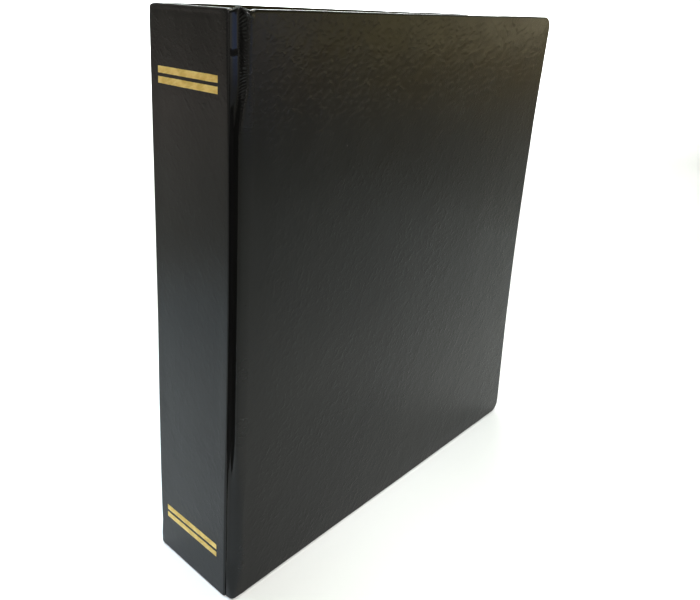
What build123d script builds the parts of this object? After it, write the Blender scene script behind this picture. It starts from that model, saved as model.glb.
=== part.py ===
from build123d import *
import os
from math import cos, sin, radians, sqrt

# Coin album: a turned-edge three-ring binder with clear coin-pocket pages.
# +X runs from the spine to the fore-edge, the front cover faces -Y, +Z is up.
# The origin is at the centre of the closed album's base.

# ---- driving dimensions, mm ----
cover_w = 266.9          # outside of the spine to the fore-edge
thick = 63.4             # outside of one cover to the outside of the other
height = 292.1

skin = 0.5               # leatherette
board = 2.4              # greyboard
lining = 0.25            # lining that shows over the turn-ins
panel = skin + board + skin
turn_in = 15.0           # width of leatherette folded over the inside of a board
lining_margin = 3.5
edge_r = 1.0             # rounding of a turned edge
corner_r = 7.0           # fore-edge corners of the covers

cover_start = 7.0        # the cover board starts this far from the spine's outside
spine_edge = 5.2         # the spine board stops this far from the covers' outsides
hinge_ply = 1.0          # leatherette and lining together in the hinge

bar_len = 42.1           # gold bars on the spine
bar_th = 3.1
bar_gap = 1.5
bar_shift = 0.65         # the bars sit a little towards the back cover
bar_top_z = 265.35       # upper edge of the upper pair
bar_low_z = 29.5         # upper edge of the lower pair
foil = 0.1

ring_r = 20.8            # centreline of the rings, 38.1 mm clear inside
wire_r = 1.75
ring_pitch = 108.0
ring_split = 0.1         # gap between the two tips
ring_sweep = 155.0       # angle that the round part of each half covers
ring_bend = 3.0          # bend where the wire turns down into its blade
ring_x = 28.0            # ring centre from the spine's outside
ring_end = 4.9           # peened end of the wire

house_half = 12.0        # ring housing
house_ply = 1.0
house_base = panel + lining
house_shoulder = 7.4
house_top = 10.4
house_z0 = 12.0
house_z1 = height - 12.0

blade_lo, blade_hi = 5.6, 6.8
blade_out, blade_in = 10.7, 0.2
blade_clear = 0.3

rivet_off = 70.0         # rivets above and below the middle
rivet_head_r, rivet_head_h = 4.6, 1.8
rivet_post_r, rivet_r = 3.0, 2.4
rivet_foot_r, rivet_foot_h = 4.0, 0.8

lever_x = 7.2            # lever pivot from the spine's outside
lever_in = 9.5           # lever pivot from the end of the album
lever_barrel_r = 2.2
lever_barrel_half = 10.6
lever_tab_half = 7.0
pin_r, pin_fit = 1.0, 0.05

page_w, page_h, page_ply = 221.0, 279.0, 0.9
page_hole_r = 4.4
page_hole_in = 7.5       # hole centre from the binding edge
page_hole_x = ring_x + 21.9
page_offsets = (-5.5, -3.3, -1.1, 1.1, 3.3, 5.5)
page_corner_r = 3.0

# ---- shared positions ----
x0 = -cover_w / 2        # outside of the spine
y0 = -thick / 2          # outside of the front cover
mid_z = height / 2
ring_levels = (mid_z - ring_pitch, mid_z, mid_z + ring_pitch)
rivet_levels = (mid_z - rivet_off, mid_z + rivet_off)


def front_plane(depth):
    """A sketch plane facing the front, this deep under the front cover's outside."""
    return Plane(origin=(0, y0 + depth, 0), x_dir=(1, 0, 0), z_dir=(0, -1, 0))


def spine_plane(depth):
    """A sketch plane facing away from the album, this deep under the spine's outside."""
    return Plane(origin=(x0 + depth, 0, 0), x_dir=(0, -1, 0), z_dir=(-1, 0, 0))


# ================= front cover =================
cover_len = cover_w - cover_start
cover_mid = x0 + cover_start + cover_len / 2

with BuildPart() as front_board:
    with BuildSketch(front_plane(skin + board)) as s:
        with Locations((cover_mid, mid_z)):
            Rectangle(cover_len - 2 * skin, height - 2 * skin)
        fillet(s.vertices().group_by(Axis.X)[-1], corner_r - skin)
    extrude(amount=board)

with BuildPart() as front_cover_wrap:
    with BuildSketch(front_plane(panel)) as s:
        with Locations((cover_mid, mid_z)):
            Rectangle(cover_len, height)
        fillet(s.vertices().group_by(Axis.X)[-1], corner_r)
    extrude(amount=panel)
    fillet(front_cover_wrap.faces().sort_by(Axis.Y)[0].edges(), edge_r)
    add(front_board.part, mode=Mode.SUBTRACT)
    with BuildSketch(front_plane(panel)) as s:
        with Locations((cover_mid, mid_z)):
            Rectangle(cover_len - 2 * turn_in, height - 2 * turn_in)
    extrude(amount=skin, mode=Mode.SUBTRACT)

with BuildPart() as front_lining:
    with BuildSketch(front_plane(panel)) as s:
        with Locations((cover_mid, mid_z)):
            Rectangle(cover_len - 2 * turn_in, height - 2 * turn_in)
    extrude(amount=skin)
    with BuildSketch(front_plane(panel + lining)) as s:
        with Locations((cover_mid, mid_z)):
            Rectangle(cover_len - 2 * lining_margin, height - 2 * lining_margin)
        fillet(s.vertices().group_by(Axis.X)[-1], corner_r - lining_margin)
    extrude(amount=lining)

# ================= back cover, the front cover's mirror =================
with BuildPart() as back_board:
    mirror(front_board.part, about=Plane.XZ)
with BuildPart() as back_cover_wrap:
    mirror(front_cover_wrap.part, about=Plane.XZ)
with BuildPart() as back_lining:
    mirror(front_lining.part, about=Plane.XZ)

# ================= spine =================
spine_w = thick - 2 * spine_edge

# the arched roof of the ring housing: the solid up to its outer surface, and the hollow inside it
with BuildPart() as arch_outer:
    with BuildSketch(Plane.XY.offset(house_z0)):
        with BuildLine():
            Polyline(
                (x0 + house_shoulder, house_half),
                (x0 + house_base, house_half),
                (x0 + house_base, -house_half),
                (x0 + house_shoulder, -house_half),
            )
            ThreePointArc(
                (x0 + house_shoulder, -house_half),
                (x0 + house_top, 0),
                (x0 + house_shoulder, house_half),
            )
        make_face()
    extrude(amount=house_z1 - house_z0)

with BuildPart() as arch_inner:
    with BuildSketch(Plane.XY.offset(house_z0)):
        with BuildLine():
            Polyline(
                (x0 + house_shoulder - 0.2, house_half - house_ply),
                (x0 + house_base, house_half - house_ply),
                (x0 + house_base, -house_half + house_ply),
                (x0 + house_shoulder - 0.2, -house_half + house_ply),
            )
            ThreePointArc(
                (x0 + house_shoulder - 0.2, -house_half + house_ply),
                (x0 + house_top - house_ply, 0),
                (x0 + house_shoulder - 0.2, house_half - house_ply),
            )
        make_face()
    extrude(amount=house_z1 - house_z0)

with BuildPart() as ring_housing:
    add(arch_outer.part)
    add(arch_inner.part, mode=Mode.SUBTRACT)
    # rivet holes in the roof
    with BuildSketch(spine_plane(house_top + 1)):
        with Locations(*[(0, z) for z in rivet_levels]):
            Circle(rivet_r)
    extrude(amount=house_top + 1 - house_base, mode=Mode.SUBTRACT)
    # notches that let each ring half through and swing, open at the housing's sides
    with Locations(
        *[
            (x0 + (house_base + house_top) / 2, side * (house_half + 5.0) / 2, z)
            for z in ring_levels
            for side in (-1, 1)
        ]
    ):
        Box(house_top - house_base + 2, house_half - 4.8, 2 * wire_r + 1.7, mode=Mode.SUBTRACT)
    # lugs at both ends carry the lever pins
    with Locations(
        *[
            (x0 + (house_base + 9.4) / 2, side * (house_half - house_ply / 2), z)
            for z in (house_z0 - 2.75, house_z1 + 2.75)
            for side in (-1, 1)
        ]
    ):
        Box(9.4 - house_base, house_ply, 5.5)
    with BuildSketch(front_plane(0)):
        with Locations((x0 + lever_x, lever_in), (x0 + lever_x, height - lever_in)):
            Circle(pin_r)
    extrude(amount=-thick, mode=Mode.SUBTRACT)

with BuildPart() as rivets:
    # each rivet clamps the housing to the spine board, and its foot is hidden under the leatherette
    with BuildSketch(Plane.XY):
        with BuildLine():
            Polyline(
                (x0 + house_top + 0.5, rivet_head_r),
                (x0 + house_top - house_ply, rivet_head_r),
                (x0 + house_top - house_ply, rivet_post_r),
                (x0 + house_base, rivet_post_r),
                (x0 + house_base, rivet_r),
                (x0 + skin + rivet_foot_h, rivet_r),
                (x0 + skin + rivet_foot_h, rivet_foot_r),
                (x0 + skin, rivet_foot_r),
                (x0 + skin, 0),
                (x0 + house_top + rivet_head_h, 0),
            )
            ThreePointArc(
                (x0 + house_top + rivet_head_h, 0),
                (x0 + house_top + 0.5 + 0.98, rivet_head_r * 0.62),
                (x0 + house_top + 0.5, rivet_head_r),
            )
        make_face()
    revolve(axis=Axis((0, 0, 0), (1, 0, 0)))
one_rivet = rivets.part

with BuildPart() as rivets:
    with Locations(*[(0, 0, z) for z in rivet_levels]):
        add(one_rivet)
    add(ring_housing.part, mode=Mode.SUBTRACT)

with BuildPart() as spine_board:
    with BuildSketch(spine_plane(skin + board)):
        with Locations((0, mid_z)):
            Rectangle(spine_w - 2 * skin, height - 2 * skin)
    extrude(amount=board)
    add(rivets.part, mode=Mode.SUBTRACT)

with BuildPart() as spine_bars_top:
    with BuildSketch(spine_plane(foil)):
        with Locations(
            (-bar_shift, bar_top_z - bar_th / 2), (-bar_shift, bar_top_z - 1.5 * bar_th - bar_gap)
        ):
            Rectangle(bar_len, bar_th)
    extrude(amount=foil)

with BuildPart() as spine_bars_bottom:
    with BuildSketch(spine_plane(foil)):
        with Locations(
            (-bar_shift, bar_low_z - bar_th / 2), (-bar_shift, bar_low_z - 1.5 * bar_th - bar_gap)
        ):
            Rectangle(bar_len, bar_th)
    extrude(amount=foil)

with BuildPart() as spine_wrap:
    with BuildSketch(spine_plane(panel)) as s:
        with Locations((0, mid_z)):
            Rectangle(spine_w, height)
        fillet(s.vertices(), edge_r)
    extrude(amount=panel)
    fillet(spine_wrap.faces().sort_by(Axis.X)[0].edges(), edge_r)
    with BuildSketch(spine_plane(skin + board)):
        with Locations((0, mid_z)):
            Rectangle(spine_w - 2 * skin, height - 2 * skin)
    extrude(amount=board, mode=Mode.SUBTRACT)
    with BuildSketch(spine_plane(panel)):
        with Locations((0, mid_z)):
            Rectangle(spine_w - 2 * 5.0, height - 2 * turn_in)
    extrude(amount=skin, mode=Mode.SUBTRACT)
    # the foil is stamped into the leatherette
    add(spine_bars_top.part, mode=Mode.SUBTRACT)
    add(spine_bars_bottom.part, mode=Mode.SUBTRACT)

with BuildPart() as spine_lining:
    with BuildSketch(spine_plane(panel)):
        with Locations((0, mid_z)):
            Rectangle(spine_w - 2 * 5.0, height - 2 * turn_in)
    extrude(amount=skin)
    with BuildSketch(spine_plane(panel + lining)):
        with Locations((0, mid_z)):
            Rectangle(spine_w - 2 * 1.5, height - 2 * lining_margin)
    extrude(amount=lining)
    add(rivets.part, mode=Mode.SUBTRACT)

# ================= hinges =================
# a soft web folded into the gap between the spine board and each cover board
hinge_in = 1.6           # centre of the web's fold, from the cover's outside
hinge_bend = spine_edge - hinge_in
with BuildPart() as front_hinge_web:
    with BuildSketch(Plane.XY.offset(0.5)):
        with Locations((x0 + cover_start - hinge_bend, y0 + hinge_in)):
            Circle(hinge_bend + hinge_ply)
            Circle(hinge_bend, mode=Mode.SUBTRACT)
        # only the quarter between the two boards
        with Locations((x0 + cover_start - hinge_bend, y0 + hinge_in)):
            Rectangle(20, 20, align=(Align.MIN, Align.MIN), mode=Mode.INTERSECT)
        # clear of the cover's edge and its turned-in leatherette
        with Locations((x0 + cover_start, y0)):
            Rectangle(20, panel, align=(Align.MIN, Align.MIN), mode=Mode.SUBTRACT)
    extrude(amount=height - 1.0)
with BuildPart() as back_hinge_web:
    mirror(front_hinge_web.part, about=Plane.XZ)

# ================= ring mechanism =================
ring_c = (x0 + ring_x, 0)
tip_angle = ring_split / ring_r * 180 / 3.141592653589793

# one front half, in the plane z = 0: the round part, then the bend down through its blade
with BuildPart() as half_ring:
    with BuildLine(Plane.XY) as wire:
        round_part = CenterArc(ring_c, ring_r, -tip_angle / 2, -(ring_sweep - tip_angle / 2))
        bend = JernArc(round_part @ 1, round_part % 1, ring_bend, ring_sweep - 90)
        Line(bend @ 1, (x0 + ring_end, (bend @ 1).Y))
    with BuildSketch(Plane(origin=round_part @ 0, z_dir=round_part % 0)):
        Circle(wire_r)
    sweep(path=wire.wires()[0])

with BuildPart() as front_ring_halves:
    with Locations(*[(0, 0, z) for z in ring_levels]):
        add(half_ring.part)
with BuildPart() as back_ring_halves:
    mirror(front_ring_halves.part, about=Plane.XZ)

with BuildPart() as front_blade:
    with BuildSketch(spine_plane(blade_hi)):
        with Locations(((blade_out + blade_in) / 2, mid_z)):
            Rectangle(blade_out - blade_in, house_z1 - house_z0 - 2 * blade_clear)
        with Locations(*[(0, z) for z in rivet_levels]):
            Circle(rivet_post_r + 0.8, mode=Mode.SUBTRACT)
    extrude(amount=blade_hi - blade_lo)
    add(front_ring_halves.part, mode=Mode.SUBTRACT)
with BuildPart() as back_blade:
    mirror(front_blade.part, about=Plane.XZ)

# ---- levers: a barrel on the pin, a finger tab, and a nose under the blades' ends ----
def lever_at(dx, dz):
    """A point beside the top lever's pivot, in the plane of its profile."""
    return (x0 + lever_x + dx, height - lever_in + dz)


with BuildPart() as top_lever:
    with BuildSketch(Plane.XZ.offset(-lever_barrel_half)):
        with Locations((x0 + lever_x, height - lever_in)):
            Circle(lever_barrel_r)
    extrude(amount=2 * lever_barrel_half)
    with BuildSketch(Plane.XZ.offset(-lever_tab_half)):
        with BuildLine():
            ThreePointArc(lever_at(0.5, -0.4), lever_at(10.0, 0.5), lever_at(18.5, 3.6))
            Line(lever_at(18.5, 3.6), lever_at(18.0, 4.9))
            ThreePointArc(lever_at(18.0, 4.9), lever_at(9.7, 1.9), lever_at(0.2, 1.0))
            Line(lever_at(0.2, 1.0), lever_at(0.5, -0.4))
        make_face()
    extrude(amount=2 * lever_tab_half)

    with BuildSketch(Plane.XZ.offset(-1.5)):
        with Locations((x0 + 4.7, height - lever_in - 2.2)):
            Rectangle(1.1, 4.4)
        with Locations((x0 + 5.4, height - lever_in - 1.0)):
            Rectangle(2.5, 1.6)
    extrude(amount=3.0)
    with BuildSketch(Plane.XZ.offset(-thick / 2)):
        with Locations((x0 + lever_x, height - lever_in)):
            Circle(pin_r + pin_fit)
    extrude(amount=thick, mode=Mode.SUBTRACT)
with BuildPart() as bottom_lever:
    mirror(top_lever.part, about=Plane.XY.offset(mid_z))

with BuildPart() as lever_pins:
    with BuildSketch(Plane.XZ.offset(-house_half)):
        with Locations((x0 + lever_x, lever_in), (x0 + lever_x, height - lever_in)):
            Circle(pin_r)
    extrude(amount=2 * house_half)

# ================= pages =================
pages = []
for i, off in enumerate(page_offsets):
    with BuildPart() as page:
        with BuildSketch(Plane.XZ.offset(-off - page_ply / 2)) as s:
            with Locations((x0 + page_hole_x - page_hole_in + page_w / 2, mid_z)):
                Rectangle(page_w, page_h)
            fillet(s.vertices(), page_corner_r)
            with Locations(*[(x0 + page_hole_x, z) for z in ring_levels]):
                Circle(page_hole_r, mode=Mode.SUBTRACT)
        extrude(amount=page_ply)
    pages.append(page)

# ---- names and export ----
nodes = {
    "front_board": front_board,
    "front_cover_wrap": front_cover_wrap,
    "front_lining": front_lining,
    "back_board": back_board,
    "back_cover_wrap": back_cover_wrap,
    "back_lining": back_lining,
    "spine_board": spine_board,
    "spine_wrap": spine_wrap,
    "spine_lining": spine_lining,
    "spine_bars_top": spine_bars_top,
    "spine_bars_bottom": spine_bars_bottom,
    "front_hinge_web": front_hinge_web,
    "back_hinge_web": back_hinge_web,
    "ring_housing": ring_housing,
    "rivets": rivets,
    "front_blade": front_blade,
    "back_blade": back_blade,
    "front_ring_halves": front_ring_halves,
    "back_ring_halves": back_ring_halves,
    "top_lever": top_lever,
    "bottom_lever": bottom_lever,
    "lever_pins": lever_pins,
}
for i, page in enumerate(pages):
    nodes[f"coin_page_{i + 1}"] = page

os.makedirs("parts", exist_ok=True)
for label, piece in nodes.items():
    piece.part.label = label
    export_step(piece.part, f"parts/{label}.step")
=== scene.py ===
import math

import bpy
import numpy as np
from mathutils import Matrix, Vector


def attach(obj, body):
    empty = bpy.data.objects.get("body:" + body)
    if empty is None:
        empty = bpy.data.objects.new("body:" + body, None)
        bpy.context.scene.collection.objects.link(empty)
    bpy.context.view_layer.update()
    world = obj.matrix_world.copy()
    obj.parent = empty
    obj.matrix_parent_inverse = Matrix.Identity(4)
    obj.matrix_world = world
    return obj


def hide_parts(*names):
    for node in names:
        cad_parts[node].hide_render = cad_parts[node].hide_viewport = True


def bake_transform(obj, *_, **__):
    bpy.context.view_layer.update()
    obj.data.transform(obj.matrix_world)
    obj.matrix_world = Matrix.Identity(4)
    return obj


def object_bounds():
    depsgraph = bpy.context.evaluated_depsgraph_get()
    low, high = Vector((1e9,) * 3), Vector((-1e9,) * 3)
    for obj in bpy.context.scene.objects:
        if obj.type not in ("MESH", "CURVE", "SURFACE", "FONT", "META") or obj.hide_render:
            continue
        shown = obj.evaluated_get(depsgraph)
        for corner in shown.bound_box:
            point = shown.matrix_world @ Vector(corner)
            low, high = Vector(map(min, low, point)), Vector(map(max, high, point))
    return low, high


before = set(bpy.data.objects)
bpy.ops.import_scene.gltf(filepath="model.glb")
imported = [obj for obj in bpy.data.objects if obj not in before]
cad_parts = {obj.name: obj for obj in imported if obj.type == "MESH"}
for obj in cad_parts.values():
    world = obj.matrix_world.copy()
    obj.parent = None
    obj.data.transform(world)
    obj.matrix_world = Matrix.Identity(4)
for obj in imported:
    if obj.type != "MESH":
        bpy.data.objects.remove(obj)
cad_lo, cad_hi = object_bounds()

# Lengths below are in millimetres in the album's own layout: s runs from the spine's outside to the
# fore-edge, t from the front cover's outside towards the back cover, z up. out() turns them to metres.
MM = 0.001
S0 = cad_lo.x / MM
T0 = cad_lo.y / MM
WIDE = (cad_hi.x - cad_lo.x) / MM
THICK = (cad_hi.y - cad_lo.y) / MM
TALL = (cad_hi.z - cad_lo.z) / MM
PANEL = 3.4
EDGE = 1.0
RINGS_S = 28.0
RING_Z = [TALL / 2 - 108.0, TALL / 2, TALL / 2 + 108.0]


def out(p, back=False):
    """Metres in the row frame from (s, t, z) in millimetres. The back cover is the front one's mirror."""
    p = np.asarray(p, float)
    q = np.empty_like(p)
    q[..., 0] = (p[..., 0] + S0) * MM
    t = THICK - p[..., 1] if back else p[..., 1]
    q[..., 1] = (t + T0) * MM
    q[..., 2] = p[..., 2] * MM
    return q


def smooth(x, a, b):
    u = np.clip((np.asarray(x, float) - a) / (b - a), 0, 1)
    return u * u * (3 - 2 * u)


# ---------------------------------------------------------------- value noise, seeded and repeatable
def lattice(ix, iy, seed):
    h = (ix.astype(np.int64) * 374761393 + iy.astype(np.int64) * 668265263 + seed * 1442695041) & 0xFFFFFFFF
    h = ((h ^ (h >> 13)) * 1274126177) & 0xFFFFFFFF
    h = (h ^ (h >> 16)) & 0xFFFFFFFF
    return h / 4294967295.0 * 2 - 1


def noise2(x, y, seed=1):
    """Smooth noise from -1 to 1 with a period of about one unit."""
    x, y = np.broadcast_arrays(np.asarray(x, float), np.asarray(y, float))
    ix, iy = np.floor(x), np.floor(y)
    fx, fy = x - ix, y - iy
    ux, uy = fx * fx * fx * (fx * (fx * 6 - 15) + 10), fy * fy * fy * (fy * (fy * 6 - 15) + 10)
    a, b = lattice(ix, iy, seed), lattice(ix + 1, iy, seed)
    c, d = lattice(ix, iy + 1, seed), lattice(ix + 1, iy + 1, seed)
    return (a * (1 - ux) + b * ux) * (1 - uy) + (c * (1 - ux) + d * ux) * uy


# ---------------------------------------------------------------- meshes
def make(name, verts, faces, lay=None, smooth_faces=True):
    """A mesh object from vertices in metres. lay is the place on the flat sheet, in metres, which the
    materials read, so that a pattern stays on its piece when the piece bends."""
    me = bpy.data.meshes.new(name)
    me.from_pydata([tuple(v) for v in np.asarray(verts, float)], [], [tuple(int(i) for i in f) for f in faces])
    if lay is not None:
        at = me.attributes.new("lay", "FLOAT_VECTOR", "POINT")
        at.data.foreach_set("vector", np.asarray(lay, np.float32).ravel())
    me.update()
    ob = bpy.data.objects.new(name, me)
    bpy.context.scene.collection.objects.link(ob)
    if smooth_faces:
        me.polygons.foreach_set("use_smooth", [True] * len(me.polygons))
    return ob


def apply_modifiers(ob):
    dg = bpy.context.evaluated_depsgraph_get()
    dg.update()
    ev = ob.evaluated_get(dg)
    me = bpy.data.meshes.new_from_object(ev, preserve_all_data_layers=True, depsgraph=dg)
    old = ob.data
    ob.modifiers.clear()
    ob.data = me
    bpy.data.meshes.remove(old)
    return ob


def weld(ob, dist=1e-6):
    import bmesh

    bm = bmesh.new()
    bm.from_mesh(ob.data)
    bmesh.ops.remove_doubles(bm, verts=bm.verts, dist=dist)
    bmesh.ops.dissolve_degenerate(bm, edges=bm.edges, dist=dist)
    bad = [f for f in bm.faces if f.calc_area() < 1e-13]
    if bad:
        bmesh.ops.delete(bm, geom=bad, context="FACES_ONLY")
    bm.to_mesh(ob.data)
    bm.free()
    ob.data.update()
    return ob


def thicken(ob, mm, offset=-1.0):
    m = ob.modifiers.new("ply", "SOLIDIFY")
    m.thickness = mm * MM
    m.offset = offset
    m.use_even_offset = False
    m.use_rim = True
    bpy.context.view_layer.update()
    apply_modifiers(ob)
    ob.data.polygons.foreach_set("use_smooth", [True] * len(ob.data.polygons))
    return ob


def sharp_by_angle(ob, degrees=40):
    ob.data.set_sharp_from_angle(angle=math.radians(degrees))
    return ob


def face_out(ob, want):
    """Turns all faces over if the first grid face looks away from want."""
    n = ob.data.polygons[0].normal
    if n.dot(Vector(want)) < 0:
        ob.data.flip_normals()
    return ob


def grid_faces(rows, cols, start=0):
    i = np.arange(rows - 1)[:, None] * cols + np.arange(cols - 1)[None, :] + start
    return np.stack([i, i + 1, i + cols + 1, i + cols], -1).reshape(-1, 4)


def spaced(a, b, step):
    n = max(1, int(round(abs(b - a) / step)))
    return np.linspace(a, b, n + 1)


# ---------------------------------------------------------------- the covers' leatherette
WALL_S = 0.95        # the sheet starts on the side of the spine, just past its rounded edge
TURN_IN = 15.0
CORNER = 7.0


def spine_edge_t(z, back=False):
    """How far in from the cover's outside the spine's side stands: its edge bows a little."""
    z = np.asarray(z, float)
    if back:
        knots = [(-5, 3.0), (2, 3.3), (8, 3.7), (17, 4.3), (26, 4.0), (47, 3.75), (93, 3.8), (138, 4.4), (207, 4.2), (252, 3.8), (300, 3.7)]
        return np.interp(z, [k[0] for k in knots], [k[1] for k in knots])
    knots = [(-5, 4.9), (17, 4.8), (47, 4.6), (77, 4.35), (107, 3.95), (137, 3.6), (167, 3.5), (197, 3.7), (227, 4.0), (245, 4.35), (285, 5.1), (300, 5.2)]
    return np.interp(z, [k[0] for k in knots], [k[1] for k in knots])


def face_start(z):
    steep = smooth(TALL - z, 30, 54) * smooth(z, 58, 98)
    return 8.6 + (1.3 * smooth(TALL - z, 60, 180) - 2.0 * smooth(TALL - z, 205, 245)) * (1 - steep) + 0.3 * steep


def groove_profile(u, z, back=False):
    """(s, t) of the leatherette in the groove: u from 0, on the spine's side, to 1, where it meets the
    cover's face. Under the top it is an open V; further down the board's edge stands close to the spine
    and leaves a narrow slot; at the foot it is shallow and soft."""
    te = spine_edge_t(z, back)
    steep = smooth(TALL - z, 27, 52) * smooth(z, 58, 98)
    low = (1 - steep) * smooth(TALL - z, 90, 150)
    top = (1 - steep) * (1 - smooth(TALL - z, 90, 150))
    o = 0 * te
    T = [(0.95 + o, te + 0.42), (1.8 + o, te + 0.10), (3.6 + o, te - 0.17), (5.55 + o, te - 0.24), (5.72 + o, te * 0.56), (6.5 + o, te * 0.13), (7.2 + o, o), (face_start(z), o)]
    M = [(0.95 + o, te + 0.32), (1.9 + o, te + 0.75), (3.05 + o, te + 1.15), (3.42 + o, te + 0.1), (3.36 + o, te * 0.50), (3.45 + o, 0.75 + o), (4.7 + o, 0.30 + o), (face_start(z), o)]
    B = [(0.95 + o, te + 0.0), (1.4 + o, te + 0.12), (2.2 + o, te + 0.10), (2.95 + o, te - 0.4), (3.8 + o, te * 0.58), (5.0 + o, te * 0.25), (6.4 + o, te * 0.05), (face_start(z), o)]
    # the last few millimetres are flush with the cover and round over to the spine
    F = [(0.90 + o, te + 0.0), (0.92 + o, te * 0.74), (1.05 + o, te * 0.42), (1.45 + o, te * 0.19), (2.2 + o, te * 0.06), (3.4 + o, o), (5.2 + o, o), (face_start(z), o)]
    end = 0 * z if back else 1 - smooth(z, 2, 24)
    P = []
    for a, b, c, d in zip(T, M, B, F):
        P.append([top * a[i] + steep * b[i] + low * (c[i] * (1 - end) + d[i] * end) for i in (0, 1)])
    # clamped cubic B-spline through eight control points
    n, k = len(P), 3
    knots = np.concatenate([np.zeros(k), np.linspace(0, 1, n - k + 1), np.ones(k)])
    x = np.clip(u, 0, 1 - 1e-9) + 0 * te
    N = [np.where((x >= knots[i]) & (x < knots[i + 1]), 1.0, 0.0) for i in range(len(knots) - 1)]
    for d in range(1, k + 1):
        M2 = []
        for i in range(len(knots) - 1 - d):
            a = (x - knots[i]) / (knots[i + d] - knots[i]) * N[i] if knots[i + d] > knots[i] else 0 * x
            b = (knots[i + d + 1] - x) / (knots[i + d + 1] - knots[i + 1]) * N[i + 1] if knots[i + d + 1] > knots[i + 1] else 0 * x
            M2.append(a + b)
        N = M2
    s = sum(N[i] * P[i][0] for i in range(n))
    t = sum(N[i] * P[i][1] for i in range(n))
    return s, t


def bow(s, z, sag):
    """How far a cover board bends inwards at its free edge, halfway up."""
    k = np.clip(1 - ((z - 150.0) / 140.0) ** 2, 0, 1) ** 1.15
    return sag * k * np.clip((s - 7.0) / (WIDE - 7.0), 0, 1.02) ** 1.5


def rim_lift(s, z, top, back=False):
    """The web's ends: the boards' corners at the groove are rounded off, and the web between them stands
    up to a low peak."""
    if top:
        near = 1 - smooth(TALL - z, 0.0, 9.0)
        peak = (0.0 if back else 0.75) * np.exp(-(((s - 5.6) / 1.35) ** 2))
        drop = -0.75 * np.exp(-(((s - 8.6) / 1.7) ** 2)) - 0.7 * (1 - smooth(s, 1.0, 5.0))
        return near * (peak + drop)
    near = 1 - smooth(z, 0.0, 9.0)
    return near * 0.12 * (1 - smooth(s, 3.0, 8.0))


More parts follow.
